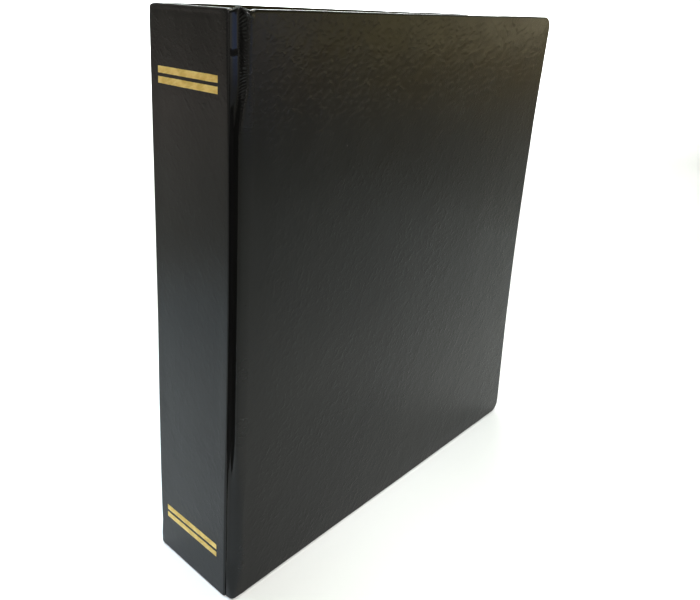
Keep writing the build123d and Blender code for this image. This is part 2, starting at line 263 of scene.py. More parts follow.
def cover_sheet(name, back, sag, droop):
    """The leatherette of one cover, with its hinge groove, turned edges and turn-ins, as one sheet."""
    zs = np.concatenate([
        np.linspace(EDGE, CORNER, 10)[:-1],
        spaced(CORNER, TALL - 115, 2.6)[:-1],
        spaced(TALL - 115, TALL - 47, 1.3)[:-1],
        spaced(TALL - 47, TALL - CORNER, 0.25)[:-1],
        np.linspace(TALL - CORNER, TALL - EDGE, 18),
    ])
    us = np.linspace(0, 1, 31)
    face_len = 256.0
    gs = np.concatenate([
        spaced(0, 4, 0.5)[1:-1], spaced(4, 12, 1.6)[:-1], spaced(12, face_len - CORNER, 4.2)[:-1],
        np.linspace(face_len - CORNER, face_len - EDGE, 9),
    ])
    # a column is (kind, value): in the groove its value is u - 1, on the face its distance over the face
    cols = np.concatenate([us - 1.0, gs / face_len])
    rows, n = len(zs), len(cols)
    C, Z = np.meshgrid(cols, zs)
    F = np.clip(C, 0, None) * face_len
    # squares at the fore-edge corners become quarter discs
    R, r = CORNER, CORNER - EDGE
    a = np.clip((F - (face_len - R)) / r, 0, 1)
    for low in (True, False):
        b = np.clip(((R - Z) if low else (Z - (TALL - R))) / r, 0, 1)
        m = (a > 0) & (b > 0)
        a2, b2 = a * np.sqrt(1 - b * b / 2), b * np.sqrt(1 - a * a / 2)
        F = np.where(m, face_len - R + a2 * r, F)
        Z = np.where(m, (R - b2 * r) if low else (TALL - R + b2 * r), Z)
    C = np.where(C > 0, F / face_len, C)

    def place(C, Z, depth):
        """(s, t, z) of the outer surface at a column and height, and depth in from it along its normal."""
        def at(C):
            u = np.clip(C + 1, 0, 1)
            gs_, gt_ = groove_profile(u, Z, back)
            f = face_start(Z)
            fs = f + np.clip(C, 0, None) * (WIDE - f)
            s = np.where(C < 0, gs_, fs)
            t = np.where(C < 0, gt_, 0.0)
            return s, t
        s, t = at(C)
        h = 0.004
        s1, t1 = at(np.clip(C - h, -1, None))
        s2, t2 = at(C + h)
        ds, dt = s2 - s1, t2 - t1
        ln = np.sqrt(ds * ds + dt * dt) + 1e-12
        # inwards: away from the outside, which for a flat face is +t
        ns, nt = -dt / ln, ds / ln
        web = 1 - smooth(C, -0.42, 0.012)
        # the web is thinner than the board, but its turned edge is as round
        share = 1 - web * (1 - 0.36)
        near, rest = 1 - 0.12 * web, 1 - web * (1 - 0.14)
        d = np.where(depth < EDGE, depth * near, EDGE * near + (depth - EDGE) * rest)
        flat = smooth(C, -0.1, 0.02)
        ns, nt = ns * (1 - flat), nt * (1 - flat) + flat
        return s + ns * d, t + nt * d, share

    chain = [(0, j) for j in range(n)] + [(i, n - 1) for i in range(1, rows)] + [(rows - 1, j) for j in range(n - 2, -1, -1)]
    ci = np.array([c[0] for c in chain])
    cj = np.array([c[1] for c in chain])
    bC, bZ = C[ci, cj], Z[ci, cj]
    bF = bC * face_len
    # outward direction in the plane of the face for each point of the edge
    dF, dZ = np.zeros(len(chain)), np.zeros(len(chain))
    low, high, fore = ci == 0, ci == rows - 1, cj == n - 1
    dZ[low & ~fore], dZ[high & ~fore] = -1, 1
    dF[fore & ~low & ~high] = 1
    corner = np.zeros(len(chain), int)
    for sign, zc in ((-1, R), (1, TALL - R)):
        m = (bF > face_len - R - 1e-6) & ((bZ < R + 1e-6) if sign < 0 else (bZ > TALL - R - 1e-6))
        vx, vz = bF - (face_len - R), bZ - zc
        ln = np.sqrt(vx * vx + vz * vz) + 1e-12
        dF = np.where(m, vx / ln, dF)
        dZ = np.where(m, vz / ln, dZ)
        corner = np.where(m, sign, corner)

    def ring(o, depth, x=None):
        """The edge moved o outwards from the inner outline, at a depth under the outer surface. With an
        angle x it is a point of the rounded edge, which is flatter on the web."""
        if x is not None:
            e = np.where(bC < 0, 1.45, 1.12)
            o, depth = EDGE * math.sin(x) ** e, EDGE * (1 - max(math.cos(x), 0.0) ** e)
        o, depth = o + 0 * bC, depth + 0 * bC
        d = EDGE - o          # inset from the true outline
        F2, Z2 = bF + dF * o, bZ + dZ * o
        for sign in (-1, 1):
            m = corner == sign
            zc = R if sign < 0 else TALL - R
            rad = R - EDGE + o
            if np.all(rad >= 0):
                F2 = np.where(m, face_len - R + dF * rad, F2)
                Z2 = np.where(m, zc + dZ * rad, Z2)
            else:
                F2 = np.where(m, face_len - d, F2)
                Z2 = np.where(m, d if sign < 0 else TALL - d, Z2)
        F2 = np.where(bC > 0, np.minimum(F2, face_len - d), F2)
        Z2 = np.clip(Z2, d, TALL - d)
        C2 = np.where(bC > 0, F2 / face_len, bC)
        return C2, Z2, depth

    arc = np.radians([18, 36, 54, 72, 90])
    inner = np.radians([30, 60, 90])
    rim = [ring(0, 0, x) for x in arc]
    rim.append(ring(EDGE, (EDGE + PANEL) / 2))
    rim.append(ring(EDGE, PANEL - 0.45))
    rim += [ring(EDGE - 0.45 * (1 - math.cos(x)), PANEL - 0.45 + 0.45 * math.sin(x)) for x in inner]
    rim += [ring(o, PANEL) for o in (-0.6, -2.0, -4.5, -9.0, -14.0)]

    def solid_place(C, Z, depth, o=0.0):
        s, t, share = place(C, Z, depth)
        # turn-ins and boards
        t = t + bow(s, Z, sag)
        # gentle unevenness of a board wrapped by hand
        t = t + (0.10 * noise2(s / 55, Z / 60, 3) + 0.035 * noise2(s / 17, Z / 19, 5)) * smooth(s, 9, 30)
        z = Z + rim_lift(s, Z, True, back) + rim_lift(s, Z, False, back)
        edge_wave = 0.16 * noise2(s / 38, 7.3 + 0 * s, 11) * (1 - smooth(TALL - Z, 0, 6)) + 0.14 * noise2(s / 33, 1.7 + 0 * s, 12) * (1 - smooth(Z, 0, 6))
        z = z + edge_wave * smooth(s, 8, 14) - 0.16 * (Z > TALL / 2) * smooth(s, 8, 14) * (1 - smooth(TALL - Z, 0, 6)) + 0.16 * (Z < TALL / 2) * smooth(s, 8, 14) * (1 - smooth(Z, 0, 6))
        # stretch wrinkles on the groove's cover side, strongest under the top
        outer = np.where(depth < 0.4, 1.0, 0.0)
        if not back:
            zone = smooth(C, -0.62, -0.53) * (1 - smooth(C, -0.33, -0.14)) * outer
            amount = 0.23 * smooth(Z, 249, 261) * (1 - smooth(Z, TALL - 4, TALL - 1.5))
            q = C * 11.0
            zig = Z + (q + 4.2) * 0.62 * np.sin(Z / 4.3 + 0.4) + 0.42 * noise2(Z / 2.6, q / 2.6, 27)
            x = zig * (2 * math.pi / 1.38)
            wv = np.sin(x - 0.55 * np.sin(x)) * (0.85 + 0.40 * noise2(Z / 3.2, q / 2.0, 21)) + 0.22 * noise2((Z + 1.5 * q) / 0.9, (q - 0.6 * Z) / 2.6, 23)
            s = s - zone * amount * wv * 0.93
            t = t - zone * amount * wv * 0.25
            # the wall and the groove's floor are pinched once across, a finger's breadth under the top
            zb = Z + 0.45 * noise2(q / 1.6, Z / 4.0, 61) + 0.06 * (q + 8)
            t = t - 0.28 * (1 - smooth(zb, 272.8, 276.9)) * smooth(Z, 222, 266) * (1 - smooth(C, -0.35, -0.1)) * outer
        # a fold runs down from the web's peak over the rounded corner of the board
        qx, pz = np.where(C < 0, C * 11.0, C * (WIDE - 8)) + 5.0, z - (TALL - 0.1)
        ex, ez = 4.9, -2.9
        along = np.clip((qx * ex + pz * ez) / (ex * ex + ez * ez), 0, 1)
        dist = np.sqrt((qx - along * ex) ** 2 + (pz - along * ez) ** 2)
        fold = outer * 0.85 * np.exp(-((dist / 0.72) ** 2)) * smooth(along, 0.0, 0.25) * (1 - smooth(along, 0.85, 1.0) * 0.6)
        wall = 1 - smooth(C, -0.30, -0.05)
        s = s - fold * (0.15 + 0.75 * wall)
        t = t - fold * (0.95 - 0.6 * wall)
        if droop:
            z = z * (1 - droop * smooth(s, 30, 330) * 1.0)
        return np.stack([s, t, z], -1)

    P = solid_place(C, Z, np.zeros_like(C)).reshape(-1, 3)
    lay = [np.stack([np.where(C < 0, 8 + C * 11, 8 + C * (WIDE - 8)), np.zeros_like(C), Z], -1).reshape(-1, 3)]
    parts, start = [P], rows * n
    faces = [grid_faces(rows, n)]
    idx = ci * n + cj
    last = None
    k = len(chain)
    for q, (C2, Z2, dep) in enumerate(rim):
        parts.append(solid_place(C2, Z2, dep))
        lay.append(np.stack([np.where(C2 < 0, 8 + C2 * 11, 8 + C2 * (WIDE - 8)), dep, Z2], -1))
        now = np.arange(k) + start
        start += k
        prev = idx if last is None else last
        faces.append(np.stack([prev[:-1], now[:-1], now[1:], prev[1:]], -1))
        last = now
    V = np.concatenate(parts)
    L = np.concatenate(lay) * MM
    L[:, 0] += 0.4 if back else 0.0
    ob = make(name, out(V, back), np.concatenate(faces), L)
    weld(ob, 2e-6)
    face_out(ob, (0, 1, 0) if back else (0, -1, 0))
    thicken(ob, 0.42)
    return ob


front_leather = cover_sheet("front_cover_leatherette", False, 2.92, 0.0)
back_leather = cover_sheet("back_cover_leatherette", True, 1.3, 0.0052)


# ---------------------------------------------------------------- the spine's leatherette
def spine_sheet(name):
    R = 1.35
    r = R - EDGE
    near = np.linspace(0, r, 6)
    zs = np.concatenate([EDGE + near[:-1], EDGE + spaced(r, 7, 0.8)[:-1], spaced(EDGE + 7, TALL - EDGE - 7, 2.2)[:-1], TALL - EDGE - spaced(7, r, 0.8)[:-1], TALL - EDGE - near[::-1]])
    fr = 51.0
    ws = np.concatenate([near[:-1] / fr, spaced(r, 5, 0.8)[:-1] / fr, np.linspace(5 / fr, 1 - 5 / fr, 22)[:-1], 1 - spaced(5, r, 0.8)[:-1] / fr, 1 - near[::-1] / fr])
    W, Z = np.meshgrid(ws, zs)
    rows, n = Z.shape

    def edges(z):
        return spine_edge_t(z), THICK - spine_edge_t(z, True)

    LO, HI = edges(Z)
    T = LO + EDGE + W * (HI - LO - 2 * EDGE)
    for left in (True, False):
        for low in (True, False):
            a = np.clip(1 - ((T - LO - EDGE) if left else (HI - EDGE - T)) / r, 0, 1)
            b = np.clip(1 - ((Z - EDGE) if low else (TALL - EDGE - Z)) / r, 0, 1)
            m = (a > 0) & (b > 0)
            a2, b2 = a * np.sqrt(1 - b * b / 2), b * np.sqrt(1 - a * a / 2)
            T = np.where(m, (LO + R - a2 * r) if left else (HI - R + a2 * r), T)
            Z = np.where(m, (R - b2 * r) if low else (TALL - R + b2 * r), Z)

    loop = [(0, j) for j in range(n)] + [(i, n - 1) for i in range(1, rows)] + [(rows - 1, j) for j in range(n - 2, -1, -1)] + [(i, 0) for i in range(rows - 2, 0, -1)]
    ci = np.array([c[0] for c in loop])
    cj = np.array([c[1] for c in loop])
    Tb, Zb = T[ci, cj], Z[ci, cj]
    lob, hib = edges(Zb)
    dt = np.where(cj == 0, -1.0, np.where(cj == n - 1, 1.0, 0.0))
    dz = np.where(ci == 0, -1.0, np.where(ci == rows - 1, 1.0, 0.0))
    for left in (True, False):
        for low in (True, False):
            ct, cz = (lob + R) if left else (hib - R), R if low else TALL - R
            vt, vz = Tb - ct, Zb - cz
            m = ((vt < 1e-6) if left else (vt > -1e-6)) & ((vz < 1e-6) if low else (vz > -1e-6))
            ln = np.sqrt(vt * vt + vz * vz) + 1e-12
            dt = np.where(m, vt / ln, dt)
            dz = np.where(m, vz / ln, dz)

    def shape(t, z, depth):
        lo, hi = edges(z)
        # the edge beside the front groove is tighter along its middle
        f = 1 - 0.5 * smooth(TALL - z, 16, 48) * smooth(z, 60, 100) * (t < THICK / 2)
        q = t - lo
        t = np.where(t < THICK / 2, lo + np.where(q < 1, q * f, np.where(q < 3, f + (q - 1) * (3 - f) / 2, q)), t)
        depth = np.where(depth < 1, depth * f, f + (depth - 1) * (PANEL - f) / (PANEL - 1)) + 0 * t
        s = depth + 0 * t
        # the board's ends are pressed down a little beside the grooves
        u = np.minimum(t - lo, hi - t)
        top = (1 - smooth(TALL - z, 0, 7)) * (1 - smooth(u, -0.5, 4.5))
        bot = (1 - smooth(z, 0, 8)) * (1 - smooth(u, -0.5, 3.2))
        front = t < THICK / 2
        z = z - np.where(front, 0.38, 0.75) * top + np.where(front, 0.0, 0.5) * bot
        s = s + 0.15 * top + np.where(front, 0.12, 0.35) * bot
        # unevenness: a board wrapped by hand
        mid = smooth(u, 0.5, 8)
        s = s + mid * (0.07 * (1 + noise2(t / 24, z / 45, 41)) + 0.02 * (1 + noise2(t / 9, z / 13, 43)))
        # pressed edge line just under the turned ends
        s = s + 0.14 * np.exp(-(((TALL - z - 3.0) / 1.0) ** 2)) * mid * (depth < 0.5)
        near_top, near_low = 1 - smooth(TALL - z, 0, 5), 1 - smooth(z, 0, 5)
        ew = 0.10 * noise2(t / 15, 3.3 + 0 * t, 51) - 0.10
        z = z + (ew * near_top - ew * near_low) * smooth(u, 1, 5)
        return np.stack([s, t, z], -1)

    parts = [shape(T, Z, 0 * Z).reshape(-1, 3)]
    lays = [np.stack([T + 600, 0 * T, Z], -1).reshape(-1, 3)]
    faces = [grid_faces(rows, n)]
    start, k = rows * n, len(loop)
    last = ci * n + cj
    tail = [(EDGE * math.sin(x), EDGE * math.sin(x), EDGE * (1 - math.cos(x))) for x in np.radians([15, 30, 45, 60, 75, 90])]
    tail += [(0.46, EDGE, 1.06), (0.46, EDGE, 2.2), (0.46, EDGE, PANEL - 0.45)]
    tail += [(0.46 - 0.3 * (1 - math.cos(x)), EDGE - 0.45 * (1 - math.cos(x)), PANEL - 0.45 + 0.45 * math.sin(x)) for x in np.radians([30, 60, 90])]
    tail += [(0.0, -1.0, PANEL), (-1.6, -4.0, PANEL), (-3.6, -9.0, PANEL), (-4.4, -14.0, PANEL)]
    for ot, oz, dep in tail:
        if oz >= 0:
            t2, z2 = Tb + dt * ot, Zb + dz * oz
        else:
            # the turn-ins lie flat inside, mitred where they meet
            z2 = np.clip(np.where(np.abs(dz) > 0, np.where(dz > 0, TALL - EDGE + oz, EDGE - oz), Zb), EDGE - oz, TALL - EDGE + oz)
            l2, h2 = edges(z2)
            t2 = np.clip(np.where(np.abs(dt) > 0, np.where(dt > 0, h2 - EDGE + ot, l2 + EDGE - ot), Tb), l2 + EDGE - ot, h2 - EDGE + ot)
        parts.append(shape(t2, z2, np.full(k, dep)))
        lays.append(np.stack([t2 + 600, np.full(k, dep), z2], -1))
        now = np.arange(k) + start
        start += k
        faces.append(np.stack([last, now, np.roll(now, -1), np.roll(last, -1)], -1))
        last = now
    ob = make(name, out(np.concatenate(parts)), np.concatenate(faces), np.concatenate(lays) * MM)
    weld(ob, 2e-6)
    face_out(ob, (-1, 0, 0))
    thicken(ob, 0.42)
    return ob


spine_leather = spine_sheet("spine_leatherette")


# ---------------------------------------------------------------- gold bars, stamped in foil
def foil_bars(name, z_top, node_h):
    verts, faces, lay = [], [], []
    t_a, t_b = 11.3, 53.4
    for row, zt in enumerate((z_top, z_top - 4.6)):
        zb = zt - 3.1
        nt, nz = 150, 9
        T, Z = np.meshgrid(np.linspace(t_a, t_b, nt), np.linspace(zb, zt, nz))
        seed = int(z_top) + row * 7
        # a stamped edge isn't quite straight: the foil breaks along the grain
        v = (Z - (zb + zt) / 2) / 1.55
        rag = 0.05 * noise2(T / 0.9, 0 * T + row, seed) + 0.03 * noise2(T / 0.35, 0 * T + row, seed + 1)
        Z = Z + np.sign(v) * np.abs(v) ** 6 * rag
        end = np.abs((T - (t_a + t_b) / 2) / ((t_b - t_a) / 2)) ** 60
        T = T + end * 0.05 * noise2(Z / 0.7, 0 * Z + 3, seed + 2)
        lip = np.minimum(1, np.minimum((1 - np.abs(v)) * 1.55, np.minimum(T - t_a, t_b - T)) / 0.16)
        S = -0.035 + 0.05 * (1 - np.clip(lip, 0, 1)) + 0.006 * noise2(T / 1.3, Z / 0.8, seed + 3) + 0.004 * noise2(T / 0.6, Z / 0.5, seed + 4)
        base = len(verts)
        top = np.stack([S, T, Z], -1).reshape(-1, 3)
        under = top.copy()
        under[:, 0] = 0.16
        for arr in (top, under):
            verts += list(arr)
            lay += list(np.stack([arr[:, 1] + 600, arr[:, 0], arr[:, 2]], -1))
        m = nt * nz
        g = grid_faces(nz, nt, base)
        faces += [tuple(f) for f in g]
        faces += [tuple(f[::-1]) for f in g + m]
        loop = [j for j in range(nt)] + [i * nt + nt - 1 for i in range(1, nz)] + [(nz - 1) * nt + j for j in range(nt - 2, -1, -1)] + [i * nt for i in range(nz - 2, 0, -1)]
        for a, b in zip(loop, loop[1:] + loop[:1]):
            faces.append((base + a, base + a + m, base + b + m, base + b))
    ob = make(name, out(np.array(verts)), faces, np.array(lay) * MM)
    import bmesh

    bm = bmesh.new()
    bm.from_mesh(ob.data)
    bmesh.ops.recalc_face_normals(bm, faces=bm.faces)
    bm.to_mesh(ob.data)
    bm.free()
    sharp_by_angle(ob, 50)
    return ob


bars_top = foil_bars("spine_foil_top", 265.35, 1)
bars_bottom = foil_bars("spine_foil_bottom", 29.4, 1)


# ---------------------------------------------------------------- boards and inside linings of the covers
def slab(name, back, sag, droop, s_a, s_b, z_a, z_b, d_out, d_in, r, step=6.0, wave=0.0, lay_off=0.0):
    """A flat sheet that follows its cover's bend: rounded at its fore-edge corners."""
    k = 7
    ss = np.concatenate([spaced(s_a, s_b - r, step)[:-1], np.linspace(s_b - r, s_b, k)])
    zz = np.concatenate([np.linspace(z_a, z_a + r, k)[:-1], spaced(z_a + r, z_b - r, step)[:-1], np.linspace(z_b - r, z_b, k)])
    S, Z = np.meshgrid(ss, zz)
    a = np.clip((S - (s_b - r)) / r, 0, 1)
    for low in (True, False):
        b = np.clip(((z_a + r - Z) if low else (Z - (z_b - r))) / r, 0, 1)
        m = (a > 0) & (b > 0)
        a2, b2 = a * np.sqrt(1 - b * b / 2), b * np.sqrt(1 - a * a / 2)
        S = np.where(m, s_b - r + a2 * r, S)
        Z = np.where(m, (z_a + r - b2 * r) if low else (z_b - r + b2 * r), Z)
    rows, n = S.shape

    def layer(depth):
        t = depth + bow(S, Z, sag)
        t = t + (0.10 * noise2(S / 55, Z / 60, 3) + 0.035 * noise2(S / 17, Z / 19, 5)) * smooth(S, 9, 30)
        if wave:
            t = t + wave * (noise2(S / 31, Z / 37, 61) + 0.5 * noise2(S / 13, Z / 15, 62)) * (depth > (d_out + d_in) / 2)
        z = Z * (1 - droop * smooth(S, 30, 330))
        return np.stack([S, t, z], -1).reshape(-1, 3)

    top, under = layer(d_out), layer(d_in)
    m = rows * n
    g = grid_faces(rows, n)
    loop = [j for j in range(n)] + [i * n + n - 1 for i in range(1, rows)] + [(rows - 1) * n + j for j in range(n - 2, -1, -1)] + [i * n for i in range(rows - 2, 0, -1)]
    side = [(a, a + m, b + m, b) for a, b in zip(loop, loop[1:] + loop[:1])]
    faces = [tuple(f) for f in g] + [tuple(f[::-1]) for f in g + m] + side
    lay = np.concatenate([np.stack([S, 0 * S + d, Z], -1).reshape(-1, 3) for d in (d_out, d_in)])
    lay[:, 0] += lay_off
    ob = make(name, out(np.concatenate([top, under]), back), faces, lay * MM)
    import bmesh

    bm = bmesh.new()
    bm.from_mesh(ob.data)
    bmesh.ops.recalc_face_normals(bm, faces=bm.faces)
    bm.to_mesh(ob.data)
    bm.free()
    sharp_by_angle(ob, 40)
    return ob


covers = {"front": (False, 2.92, 0.0), "back": (True, 1.3, 0.0052)}
boards, liners, hinge_liners = {}, {}, {}
for side, (back, sag, droop) in covers.items():
    boards[side] = slab(f"{side}_cover_board", back, sag, droop, 8.6, WIDE - 0.62, 0.62, TALL - 0.62 - (1.0 if back else 0.0), 0.56, 2.84, 6.4)
    liners[side] = slab(f"{side}_cover_lining", back, sag, droop, 10.6, WIDE - 3.5, 3.5, TALL - 3.5 - (1.0 if back else 0.0), 3.30, 3.68, 3.5, step=3.2, wave=0.02, lay_off=1200)


def hinge_lining(name, back):
    """The strip of lining that runs from the spine's inside over the hinge to the cover's inside."""
    zs = np.concatenate([np.linspace(3.0, 6.0, 4)[:-1], spaced(6, TALL - 6, 3.0)[:-1], np.linspace(TALL - 6, TALL - 3.0, 4)])
    ctrl = np.array([[3.82, 9.6], [3.82, 8.2], [3.86, 7.2], [4.15, 6.25], [4.9, 5.35], [5.9, 4.65], [7.0, 4.12], [8.2, 3.86], [9.4, 3.80], [12.5, 3.80], [15.5, 3.80]])
    # a smooth curve through the corners
    pts = ctrl
    for _ in range(2):
        q = 0.75 * pts[:-1] + 0.25 * pts[1:]
        w = 0.25 * pts[:-1] + 0.75 * pts[1:]
        pts = np.concatenate([pts[:1], np.stack([q, w], 1).reshape(-1, 2), pts[-1:]])
    d = np.gradient(pts, axis=0)
    d /= np.linalg.norm(d, axis=1)[:, None]
    nrm = np.stack([-d[:, 1], d[:, 0]], -1)      # towards the inside
    nrm = np.where((nrm @ np.array([1.0, 1.0]))[:, None] < 0, -nrm, nrm)
    run = np.concatenate([[0], np.cumsum(np.linalg.norm(np.diff(pts, axis=0), axis=1))])
    rows, n = len(zs), len(pts)
    V, L = [], []
    for th in (0.12, -0.10):
        for z in zs:
            p = pts + nrm * th
            V += [(a, b, z) for a, b in p]
            L += [(q + 1500, th, z) for q in run]
    m = rows * n
    g = grid_faces(rows, n)
    loop = [j for j in range(n)] + [i * n + n - 1 for i in range(1, rows)] + [(rows - 1) * n + j for j in range(n - 2, -1, -1)] + [i * n for i in range(rows - 2, 0, -1)]
    faces = [tuple(f) for f in g] + [tuple(f[::-1]) for f in g + m] + [(a, a + m, b + m, b) for a, b in zip(loop, loop[1:] + loop[:1])]
    ob = make(name, out(np.array(V), back), faces, np.array(L) * MM)
    import bmesh

    bm = bmesh.new()
    bm.from_mesh(ob.data)
    bmesh.ops.recalc_face_normals(bm, faces=bm.faces)
    bm.to_mesh(ob.data)
    bm.free()
    sharp_by_angle(ob, 60)
    return ob


for side, (back, sag, droop) in covers.items():
    hinge_liners[side] = hinge_lining(f"{side}_hinge_lining", back)


# ---------------------------------------------------------------- coin pages: two films welded into pockets
PAGE_W, PAGE_H = 221.0, 279.0
PAGE_S, PAGE_Z = 42.4, (TALL - 279.0) / 2
COLS, ROWS = 4, 5
BIND = 15.6
POCKET_W = (PAGE_W - BIND - 1.2) / COLS
POCKET_H = (PAGE_H - 4.0) / ROWS


def coin_page(name, t_mid, seed):
    """Two clear films that lie apart inside each pocket and are welded along its seams, with a thumb cut
    at each pocket's mouth on the front film and three punched holes in the binding strip."""
    us = [0.0, 1.2, 2.4]
    hole_r, hole_u = 4.4, 7.5
    us += list(np.linspace(hole_u - hole_r, hole_u + hole_r, 9))
    us += [13.2, 14.4]
    for c in range(COLS):
        a = BIND + c * POCKET_W
        us += [a, a + 0.7, a + 1.4, a + 2.3, a + 4.5, a + 9.0]
        us += list(np.linspace(a + 14, a + POCKET_W - 14, 7))
        us += [a + POCKET_W - 9.0, a + POCKET_W - 4.5, a + POCKET_W - 2.3, a + POCKET_W - 1.4, a + POCKET_W - 0.7]
    us += [BIND + COLS * POCKET_W, PAGE_W]
    us = np.unique(np.round(us, 4))
    vs = [0.0, 1.0, 2.0]
    for r in range(ROWS):
        a = 2.0 + r * POCKET_H
        vs += [a, a + 0.7, a + 1.4, a + 2.3, a + 4.5, a + 9.0]
        vs += list(np.linspace(a + 15, a + POCKET_H - 15, 6))
        vs += [a + POCKET_H - 9.0, a + POCKET_H - 6.0, a + POCKET_H - 4.5, a + POCKET_H - 3.2, a + POCKET_H - 2.2, a + POCKET_H - 1.2]
    vs += [PAGE_H - 2.0, PAGE_H - 1.0, PAGE_H]
    for z in RING_Z:
        vs += list(np.linspace(z - PAGE_Z - hole_r, z - PAGE_Z + hole_r, 9))
    vs = np.unique(np.round(vs, 4))
    # merge columns and rows that are closer than a third of a millimetre
    us = us[np.concatenate([[True], np.diff(us) > 0.3])]
    vs = vs[np.concatenate([[True], np.diff(vs) > 0.3])]
    U, V = np.meshgrid(us, vs)
    rows, n = U.shape
    # how open a pocket is at a point: nothing on a seam, full in its middle
    pu = (U - BIND) % POCKET_W
    pv = (V - 2.0) % POCKET_H
    inside = (U > BIND + 0.1) & (U < BIND + COLS * POCKET_W - 0.1) & (V > 2.1) & (V < PAGE_H - 2.1)
    eu = np.minimum(pu, POCKET_W - pu)
    ev = np.where(pv > POCKET_H / 2, POCKET_H - pv, pv)
    mouth = pv > POCKET_H - 2.4
    gape = smooth(eu, 0.7, 5.5) * smooth(ev, 0.7, 5.5)
    ix, iy = np.floor((U - BIND) / POCKET_W), np.floor((V - 2.0) / POCKET_H)
    puff = 0.24 + 0.10 * noise2(ix * 1.7 + 0.3, iy * 1.3 + 0.6, seed)
    half = np.where(inside, 0.13 + gape * puff, 0.13)
    # raised weld line on each seam
    seam = np.where((U > BIND - 0.4), np.exp(-((np.minimum(np.abs(pu), POCKET_W - pu) / 0.55) ** 2)), 0)
    seam = np.maximum(seam, np.where(U > BIND, np.exp(-((np.minimum(np.abs(pv), POCKET_H - pv) / 0.5) ** 2)), 0))
    half = half + 0.05 * seam
    # corners
    cr = 3.0
    for cu, cv, su, sv in ((cr, cr, -1, -1), (PAGE_W - cr, cr, 1, -1), (cr, PAGE_H - cr, -1, 1), (PAGE_W - cr, PAGE_H - cr, 1, 1)):
        m = ((U - cu) * su > 0) & ((V - cv) * sv > 0)
        a, b = np.clip(np.abs(U - cu) / cr, 0, 1), np.clip(np.abs(V - cv) / cr, 0, 1)
        U = np.where(m, cu + su * a * np.sqrt(1 - b * b / 2) * cr, U)
        V = np.where(m, cv + sv * b * np.sqrt(1 - a * a / 2) * cr, V)
    # punched holes: the grid square round each hole becomes a disc's edge
    drop = np.zeros((rows - 1, n - 1), bool)
    for z in RING_Z:
        vz = z - PAGE_Z
        du, dv = (U - hole_u) / hole_r, (V - vz) / hole_r
        m = (np.abs(du) < 1.001) & (np.abs(dv) < 1.001)
        a2, b2 = du * np.sqrt(np.clip(1 - dv * dv / 2, 0, 1)), dv * np.sqrt(np.clip(1 - du * du / 2, 0, 1))
        U = np.where(m, hole_u + a2 * hole_r, U)
        V = np.where(m, vz + b2 * hole_r, V)
        drop |= m[:-1, :-1] & m[1:, :-1] & m[:-1, 1:] & m[1:, 1:]
    sway = 0.12 * noise2(U / 90, V / 80, seed + 5)
    front = np.stack([PAGE_S + U, t_mid - half + sway, PAGE_Z + V], -1).reshape(-1, 3)
    rear = np.stack([PAGE_S + U, t_mid + half + sway, PAGE_Z + V], -1).reshape(-1, 3)
    idx = (np.arange(rows - 1)[:, None] * n + np.arange(n - 1)[None, :])
    keep = ~drop
    # the front film is cut away at each mouth between its rows, with a shallow thumb cut
    cut = np.zeros_like(drop)
    mu, mv = (U[:-1, :-1] + U[1:, 1:]) / 2, (V[:-1, :-1] + V[1:, 1:]) / 2
    cu, cv = (mu - BIND) % POCKET_W, (mv - 2.0) % POCKET_H
    in_page = (mu > BIND) & (mu < BIND + COLS * POCKET_W)
    side_ok = (cu > 1.4) & (cu < POCKET_W - 1.4)
    top_gap = (cv > POCKET_H - 2.3) & (cv < POCKET_H - 0.9)
    thumb = ((cu - POCKET_W / 2) ** 2 / 9.5**2 + (cv - (POCKET_H - 1.6)) ** 2 / 4.4**2) < 1
    cut = in_page & side_ok & (top_gap | (thumb & (cv < POCKET_H - 0.9)))
    m = rows * n
    faces = []
    fcells = keep & ~cut
    q = np.stack([idx, idx + 1, idx + n + 1, idx + n], -1)
    faces += [tuple(f) for f in q[fcells]]
    faces += [tuple(f[::-1]) for f in (q + m)[keep]]
    # close the outer edge and the holes' walls
    edges = {}
    for f in q[keep]:
        for a, b in zip(f, np.roll(f, -1)):
            key = (min(a, b), max(a, b))
            edges[key] = edges.get(key, 0) + (1 if a < b else -1) if key not in edges else None
    for (a, b), d in list(edges.items()):
        if d is None:
            continue
        if d > 0:
            faces.append((a, a + m, b + m, b))
        else:
            faces.append((b, b + m, a + m, a))
    lay = np.concatenate([np.stack([U + 10, 0 * U + k, V], -1).reshape(-1, 3) for k in (0, 1)])
    lay[:, 0] += seed * 7
    ob = make(name, out(np.concatenate([front, rear])), faces, lay * MM)
    weld_line = ob.data.attributes.new("weld", "FLOAT", "POINT")
    border = np.exp(-((np.minimum(np.minimum(U, PAGE_W - U), np.minimum(V, PAGE_H - V)) / 1.1) ** 2))
    strip = 0.30 * (U < BIND - 0.2)
    weld_line.data.foreach_set("value", np.tile(np.maximum(np.maximum(seam, border), strip).astype(np.float32).ravel(), 2))
    import bmesh

    bm = bmesh.new()
    bm.from_mesh(ob.data)
    loose = [v for v in bm.verts if not v.link_faces]
    bmesh.ops.delete(bm, geom=loose, context="VERTS")
    bmesh.ops.recalc_face_normals(bm, faces=bm.faces)
    bm.to_mesh(ob.data)
    bm.free()
    sharp_by_angle(ob, 55)
    return ob


pages = []
for i, off in enumerate((-5.5, -3.3, -1.1, 1.1, 3.3, 5.5)):
    pages.append(coin_page(f"pocket_page_{i + 1}", THICK / 2 + off, 70 + i))


# ---------------------------------------------------------------- materials
def new_mat(name):
    m = bpy.data.materials.new(name)
    m.use_nodes = True
    nt = m.node_tree
    nt.nodes.clear()
    o = nt.nodes.new("ShaderNodeOutputMaterial")
    b = nt.nodes.new("ShaderNodeBsdfPrincipled")
    nt.links.new(b.outputs["BSDF"], o.inputs["Surface"])
    return m, nt, b


